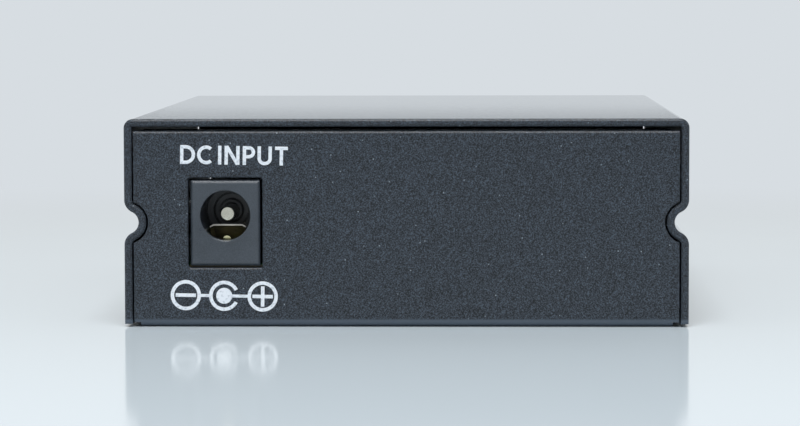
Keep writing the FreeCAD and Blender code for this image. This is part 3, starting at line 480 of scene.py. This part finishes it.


# circuit board: green solder mask over glass cloth. Copper runs stand a little proud and show lighter
# through the mask, and the sawn edge is bare laminate, painted a dark olive-brown well below its own tan as
# painted shade where it shows through the gap under the inlet
boardSettings = {
    "mask": "#0f4a2a",
    "overCopper": "#1c6a3d",
    # the bare laminate, painted darker than its own tan as painted shade
    "laminateInShade": "#4f4a36",
    "runPitch": 1.27 * millimetre,
    "runHeight": 0.035 * millimetre,
    "bandUnit": 0.314,              # metres from band to band of the wave texture at a scale of 1
    "runEdge": (0.55, 0.65),        # height of the wave where a run starts, and where it is full
    "patch": 9.0 * millimetre,      # size of the areas that have copper runs or none
    "patchEdge": (0.30, 0.34),      # distance from a patch's middle, in patches, where runs start
    "weave": 0.5 * millimetre,      # of the glass cloth
    "weaveDepth": 0.006 * millimetre,
    "sawn": (0.6, 0.4),             # how level a face is, 1 being flat, where bare laminate starts
    "resin": 1.5,                   # index of refraction
    "roughness": 0.30,
}


def solderMaskBoard(name, settings):
    # copper lies where the bands of a wave meet the chosen patches. It lightens the mask and lifts
    # it, the cloth's weave shows faintly all over, and faces that stand upright are bare laminate, darkened
    # as painted shade
    material, tree = emptyMaterial(name)
    place = addNode(tree, "ShaderNodeTexCoord").outputs["Object"]
    patch = addNode(tree, "ShaderNodeTexVoronoi",
                    {"distance": "MANHATTAN", "feature": "F1", "Scale": 1.0 / settings["patch"]},
                    {"Vector": place})
    lines = addNode(tree, "ShaderNodeTexWave",
                    {"wave_type": "BANDS", "bands_direction": "Y", "Distortion": 0.0,
                     "Scale": settings["bandUnit"] / settings["runPitch"]}, {"Vector": place})
    track = addNode(tree, "ShaderNodeMapRange",
                    {"From Min": settings["runEdge"][0], "From Max": settings["runEdge"][1]},
                    {"Value": lines.outputs["Fac"]})
    chosen = addNode(tree, "ShaderNodeMapRange",
                     {"From Min": settings["patchEdge"][0], "From Max": settings["patchEdge"][1]},
                     {"Value": patch})
    copper = addNode(tree, "ShaderNodeMath", {"operation": "MULTIPLY"}, {0: track, 1: chosen})
    weave = grain(tree, settings["weave"], detail=1.0)
    masked = addNode(tree, "ShaderNodeValToRGB",
                     {"steps": [(0.0, settings["mask"]), (1.0, settings["overCopper"])]}, {"Fac": copper})
    facing = addNode(tree, "ShaderNodeSeparateXYZ",
                     links={"Vector": addNode(tree, "ShaderNodeNewGeometry").outputs["True Normal"]})
    flat = addNode(tree, "ShaderNodeMath", {"operation": "ABSOLUTE"}, {0: facing.outputs["Z"]})
    side = addNode(tree, "ShaderNodeMapRange",
                   {"From Min": settings["sawn"][0], "From Max": settings["sawn"][1]}, {"Value": flat})
    # upright faces take that darkened laminate colour: painted shade
    colour = addNode(tree, "ShaderNodeMix",
                     {"data_type": "RGBA", 7: linearColour(settings["laminateInShade"])}, {0: side, 6: masked})
    raised = addNode(tree, "ShaderNodeBump", {"Distance": settings["runHeight"], "Strength": 0.6},
                     {"Height": copper})
    cloth = addNode(tree, "ShaderNodeBump", {"Distance": settings["weaveDepth"], "Strength": 0.4},
                    {"Height": weave, "Normal": raised})
    finishSurface(tree, {"IOR": settings["resin"], "Roughness": settings["roughness"]},
                  {"Base Color": colour.outputs[2], "Normal": cloth})
    return material


# light pipe: clear polycarbonate, faintly cloudy and a little wavy, as it comes from the mould
clearSettings = {
    "tint": "#eef3f4",
    "clear": 0.75,                  # share of the light that goes through
    "glass": 1.58,                  # index of refraction
    "roughness": 0.16,
    "rougher": 0.12,
    "cloud": 1.2 * millimetre,
    "cloudDepth": 0.01 * millimetre,
}


def clearPolycarbonate(name, settings):
    # the cloudiness makes it rougher in places and bends its surface a little
    material, tree = emptyMaterial(name)
    cloud = grain(tree, settings["cloud"], detail=2.0)
    dull = addNode(tree, "ShaderNodeMapRange",
                   {**noiseSpan, "To Min": settings["roughness"],
                    "To Max": settings["roughness"] + settings["rougher"]}, {"Value": cloud})
    skin = addNode(tree, "ShaderNodeBump", {"Distance": settings["cloudDepth"], "Strength": 0.4},
                   {"Height": cloud})
    finishSurface(tree, {"IOR": settings["glass"], "Transmission Weight": settings["clear"],
                         "Base Color": linearColour(settings["tint"])},
                  {"Roughness": dull, "Normal": skin})
    return material


# which finish each solid piece has
finishOf = {
    "top_cover": "powderCoatedSteel",
    "base_tray": "powderCoatedSteel",
    "cover_screws": "blackZincSteel",
    "main_board": "solderMaskBoard",
    "board_standoffs": "zincPlatedSteel",
    "board_screws": "zincPlatedSteel",
    "dc_jack_body": "mouldedJackNylon",
    "dc_jack_pin": "nickelPlatedPin",
    "dc_jack_leaf": "springSteel",
    "dc_jack_terminal": "plainBrass",
    "network_jack_shield": "tinPlatedSteel",
    "network_jack_housing": "mouldedPortPolyester",
    "network_jack_contacts": "goldFlashedBronze",
    "fibre_housing": "mouldedPortPolyester",
    "fibre_sleeves": "groundZirconia",
    "fibre_latches": "mouldedLatchPolyester",
    "fibre_collar": "tinPlatedSteel",
    "fibre_pins": "goldFlashedBronze",
    "light_pipe": "clearPolycarbonate",
    "status_lamps": "castLampResin",
    "timing_crystal": "drawnAluminium",
    "power_inductor": "pressedFerrite",
    "input_diode": "mouldedChipEpoxy",
    "input_capacitors": "drawnAluminium",
    "chip_passives": "firedChipCeramic",
    "converter_chip": "mouldedChipEpoxy",
    "network_chip": "mouldedChipEpoxy",
    "network_transformer": "mouldedChipEpoxy",
    "voltage_regulator": "mouldedChipEpoxy",
}


def mixFinishes():
    # every finish by its name, each maker going through its own table
    finishes = {
        "powderCoatedSteel": powderCoat("powderCoatedSteel", powderSettings),
        "solderMaskBoard": solderMaskBoard("solderMaskBoard", boardSettings),
        "clearPolycarbonate": clearPolycarbonate("clearPolycarbonate", clearSettings),
    }
    tables = {mouldedPlastic: plasticSettings, workedMetal: metalSettings, firedCeramic: firedSettings}
    for maker, table in tables.items():
        for name, settings in table.items():
            finishes[name] = maker(name, settings)
    return finishes


def dressNodes(finishes):
    # each solid piece keeps its mesh and gets its finish in all its slots
    for node, finish in finishOf.items():
        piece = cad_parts[node]
        for holder in piece.material_slots:
            holder.material = finishes[finish]
        if not piece.material_slots:
            piece.data.materials.append(finishes[finish])


finishes = mixFinishes()
dressNodes(finishes)
print(len(finishes), "finishes on", len(finishOf), "pieces")

# white screen print on the inlet panel: epoxy ink, a soft-edged film that follows the coat's pebbles
inkSettings = {
    "film": 0.020 * millimetre,
    "sink": 0.006 * millimetre,        # how far its underside lies in the powder coat
    "full": "#d2d8df",
    "thin": "#aab3bd",
    "fullAt": 0.50,                    # level of the pebbles that is still fully covered, and thin
    "thinAt": 0.74,
    "resin": 1.5,                      # index of refraction
    "roughness": 0.50,
    "follow": 0.35,                    # share of the pebbles' height that it follows
    "overlap": 0.12,                   # of the film's thickness, where two strokes of a letter cross
}
markSettings = {
    "up": 4.07 * millimetre,           # centre line over the base of the case
    "aside": -0.19 * millimetre,       # its middle, from the inlet's axis
    "pitch": 4.99 * millimetre,
    "ring": 1.74 * millimetre,         # radius of a ring's centre line
    "line": 0.46 * millimetre,
    "sign": 2.65 * millimetre,         # length of a bar in a ring
    "link": 0.85,                      # width of the bars between the signs, against the line
    "bite": 0.4,                       # how far those reach into a ring or dot, in line widths
    "dot": 1.04 * millimetre,
    "gap": 27.0,                       # degrees each side that the middle ring stays open
    "points": (64, 56, 48),            # round a ring, the open ring and the dot
}
wordSettings = {
    "words": "DC INPUT",
    "aside": 1.17 * millimetre,        # middle of the words, from the inlet's axis
    "up": 22.3 * millimetre,
    "capHeight": 2.44 * millimetre,
    "line": 0.44 * millimetre,
    "space": 0.39,                     # the word space and the gap between letters, in letter heights
    "gap": 0.165,
}
printSkew = 1.0                        # degrees that the whole print leans, falling to the right


def printedInk(name, settings):
    # white epoxy ink: nearly matt, a touch thinner and greyer where the coat's pebbles stand proud
    material, tree = emptyMaterial(name)
    pebble = grain(tree, powderSettings["pebble"], detail=1.5)
    colour = addNode(tree, "ShaderNodeValToRGB",
                     {"steps": [(settings["fullAt"], settings["full"]),
                                (settings["thinAt"], settings["thin"])]}, {"Fac": pebble})
    skin = addNode(tree, "ShaderNodeBump",
                   {"Distance": powderSettings["skinDepth"], "Strength": settings["follow"]},
                   {"Height": pebble})
    finishSurface(tree, {"IOR": settings["resin"], "Roughness": settings["roughness"]},
                  {"Base Color": colour, "Normal": skin})
    return material


def inkLine(path, width, closed=False, lift=0.0):
    # a flat-topped section carried along a path: each path point goes sideways by half the width
    # times the section's first value, and outward by the film times its second, which the lift
    # makes larger by its share
    section = np.array([[-1.0, 0.0], [-1.0, 0.55], [-0.86, 1.0], [0.86, 1.0], [1.0, 0.55], [1.0, 0.0]])
    if closed:
        along = np.roll(path, -1, axis=0) - np.roll(path, 1, axis=0)
    else:
        along = np.gradient(path, axis=0)
    along /= np.linalg.norm(along, axis=1, keepdims=True)
    aside = np.stack([-along[:, 1], along[:, 0]], axis=1)
    flat = path[:, None, :] + aside[:, None, :] * (section[None, :, :1] * width / 2)
    out = np.broadcast_to(section[None, :, 1] * (1 + lift), flat.shape[:2])
    points = np.concatenate([flat, out[:, :, None]], axis=2).reshape(-1, 3)
    rows, columns = flat.shape[:2]
    faces = gridFaces(rows, columns, closed)
    if not closed:
        faces += [list(range(columns)), list(range(rows * columns - 1, (rows - 1) * columns - 1, -1))]
    return points, faces


def inkDot(centre, radius, count):
    # a disc: points on rings round the centre, level out to nine tenths of the radius and then falling
    turns = np.linspace(0, 2 * np.pi, count, endpoint=False)
    reach = np.array([1.0, 1.0, 0.9, 0.45])
    level = np.array([0.0, 0.55, 1.0, 1.0])
    x = centre[0] + radius * np.outer(np.cos(turns), reach)
    z = centre[1] + radius * np.outer(np.sin(turns), reach)
    points = np.stack([x, z, np.broadcast_to(level, x.shape)], axis=-1).reshape(-1, 3)
    middle = np.array([[centre[0], centre[1], 1.0]])
    last = np.arange(len(turns)) * len(reach) + len(reach) - 1
    fan = np.stack([last, np.roll(last, -1), np.full_like(last, len(points))], axis=-1)
    return np.concatenate([points, middle]), gridFaces(len(turns), len(reach), True) + fan.tolist()


def arcPath(centre, radii, start, stop, count, closed=False):
    # points round an ellipse between two angles in degrees: its centre plus the half width times the
    # cosine, and plus the half height times the sine
    turns = np.radians(np.linspace(start, stop, count, endpoint=not closed))
    return np.stack([centre[0] + radii[0] * np.cos(turns), centre[1] + radii[1] * np.sin(turns)], axis=1)


def barPath(start, stop):
    # three points evenly along a straight line
    return np.linspace(start, stop, 3)


def onPanel(points, centre):
    # (across, up, film) to the case's frame: leant a little about the centre, and the film grows
    # out of the inlet panel, away from the case
    lean = np.radians(printSkew)
    x, z = points[:, 0] - centre[0], points[:, 1] - centre[1]
    out = -inkSettings["sink"] + points[:, 2] * (inkSettings["film"] + inkSettings["sink"])
    return np.stack([centre[0] + x * np.cos(lean) + z * np.sin(lean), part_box("base_tray")[0].y - out,
                     centre[1] - x * np.sin(lean) + z * np.cos(lean)], axis=1)


def inkPiece(name, parts, centre, material):
    # one mesh of all its strokes, riding on the case, with its faces turned outward
    points, faces, start = [], [], 0
    for places, quads in parts:
        points.append(onPanel(places, centre))
        faces += [[corner + start for corner in quad] for quad in quads]
        start += len(places)
    mesh = bpy.data.meshes.new(name)
    mesh.from_pydata(np.concatenate(points).tolist(), [], faces)
    mesh.validate()
    normals = np.zeros(len(mesh.polygons) * 3)
    areas = np.zeros(len(mesh.polygons))
    mesh.polygons.foreach_get("normal", normals)
    mesh.polygons.foreach_get("area", areas)
    if (normals.reshape(-1, 3)[:, 1] * areas).sum() > 0:
        mesh.flip_normals()
    mesh.materials.append(material)
    piece = bpy.data.objects.new(name, mesh)
    bpy.context.collection.objects.link(piece)
    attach(piece, "case")


def printPolarity(settings, material):
    # minus in a ring, a dot in an open ring, and plus in a ring, side by side. A bar joins minus to
    # the open ring, and another joins the dot to plus
    low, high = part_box("dc_jack_body")
    middle = np.array([(low.x + high.x) / 2 + settings["aside"], cadLow.z + settings["up"]])
    step = np.array([settings["pitch"], 0.0])
    minus, plus = middle - step, middle + step
    ring, line, half = settings["ring"], settings["line"], settings["sign"] / 2
    side, rise = np.array([1.0, 0.0]), np.array([0.0, 1.0])
    link, bite = line * settings["link"], line * settings["bite"]
    ringPoints, openPoints, dotPoints = settings["points"]
    parts = [
        inkLine(arcPath(minus, (ring, ring), 0, 360, ringPoints, True), line, True),
        inkLine(arcPath(plus, (ring, ring), 0, 360, ringPoints, True), line, True),
        inkLine(arcPath(middle, (ring, ring), settings["gap"], 360 - settings["gap"], openPoints), line),
        inkDot(middle, settings["dot"], dotPoints),
        inkLine(barPath(minus - side * half, minus + side * half), line),
        inkLine(barPath(plus - side * half, plus + side * half), line),
        inkLine(barPath(plus + rise * line * 0.5, plus + rise * half), line),
        inkLine(barPath(plus - rise * half, plus - rise * line * 0.5), line),
        inkLine(barPath(minus + side * (ring + bite), middle - side * (ring + bite)), link),
        inkLine(barPath(middle + side * (settings["dot"] - bite), plus - side * (ring + bite)), link),
    ]
    inkPiece("polarity_marks", parts, middle, material)


def letterLines(line):
    # centre lines of plain round sans capitals one unit high, and each letter's width. Curves are
    # half circles and part ellipses, and the rest is straight
    half = line / 2
    low, high = half, 1.0 - half
    rise = (high - low) / 2

    def run(*corners):
        return np.array(corners, dtype=float)

    dBelly = arcPath((0.30, 0.5), (0.50 - half, rise), 90, -90, 25)
    pBelly = arcPath((0.33, high - 0.235), (0.235, 0.235), 90, -90, 25)
    uFoot = arcPath((0.38, 0.36), (0.38 - half, 0.36 - half), 180, 360, 31)
    return {
        "D": (0.74, [run((half, 0), (half, 0.5), (half, 1)),
                     np.concatenate([run((half, high)), dBelly, run((half, low))])]),
        "C": (0.72, [arcPath((0.48, 0.5), (0.48 - half, rise), 50, 310, 41)]),
        "I": (line, [run((half, 0), (half, 0.5), (half, 1))]),
        "N": (0.80, [run((half, 0), (half, 0.5), (half, 1)),
                     run((0.8 - half, 0), (0.8 - half, 0.5), (0.8 - half, 1)),
                     run((half * 1.2, 0.98), (0.4, 0.5), (0.8 - half * 1.2, 0.02))]),
        "P": (0.62, [run((half, 0), (half, 0.5), (half, 1)),
                     np.concatenate([run((half, high)), pBelly, run((half, high - 0.47))])]),
        "U": (0.76, [np.concatenate([run((half, 1)), uFoot, run((0.76 - half, 1))])]),
        "T": (0.68, [run((0, high), (0.34, high), (0.68, high)),
                     run((0.34, 0), (0.34, 0.5), (0.34, high))]),
    }


def printWords(settings, material):
    # each letter's centre lines are set side by side, scaled to the letter height and inked
    low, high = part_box("dc_jack_body")
    line = settings["line"] / settings["capHeight"]
    letters = letterLines(line)
    along, runs = 0.0, []
    for letter in settings["words"]:
        if letter == " ":
            along += settings["space"] - settings["gap"]
            continue
        width, lines = letters[letter]
        runs += [run + np.array([along, 0.0]) for run in lines]
        along += width + settings["gap"]
    middle = np.array([(along - settings["gap"]) / 2, 0.5])
    centre = np.array([(low.x + high.x) / 2 + settings["aside"], cadLow.z + settings["up"]])
    # where two strokes of a letter cross, one film lies over the other
    parts = [inkLine((run - middle) * settings["capHeight"] + centre, settings["line"],
                     lift=inkSettings["overlap"] * (order % 3))
             for order, run in enumerate(runs)]
    inkPiece("inlet_words", parts, centre, material)


ink = printedInk("epoxyScreenInk", inkSettings)
printPolarity(markSettings, ink)
printWords(wordSettings, ink)
print("inlet panel printed")
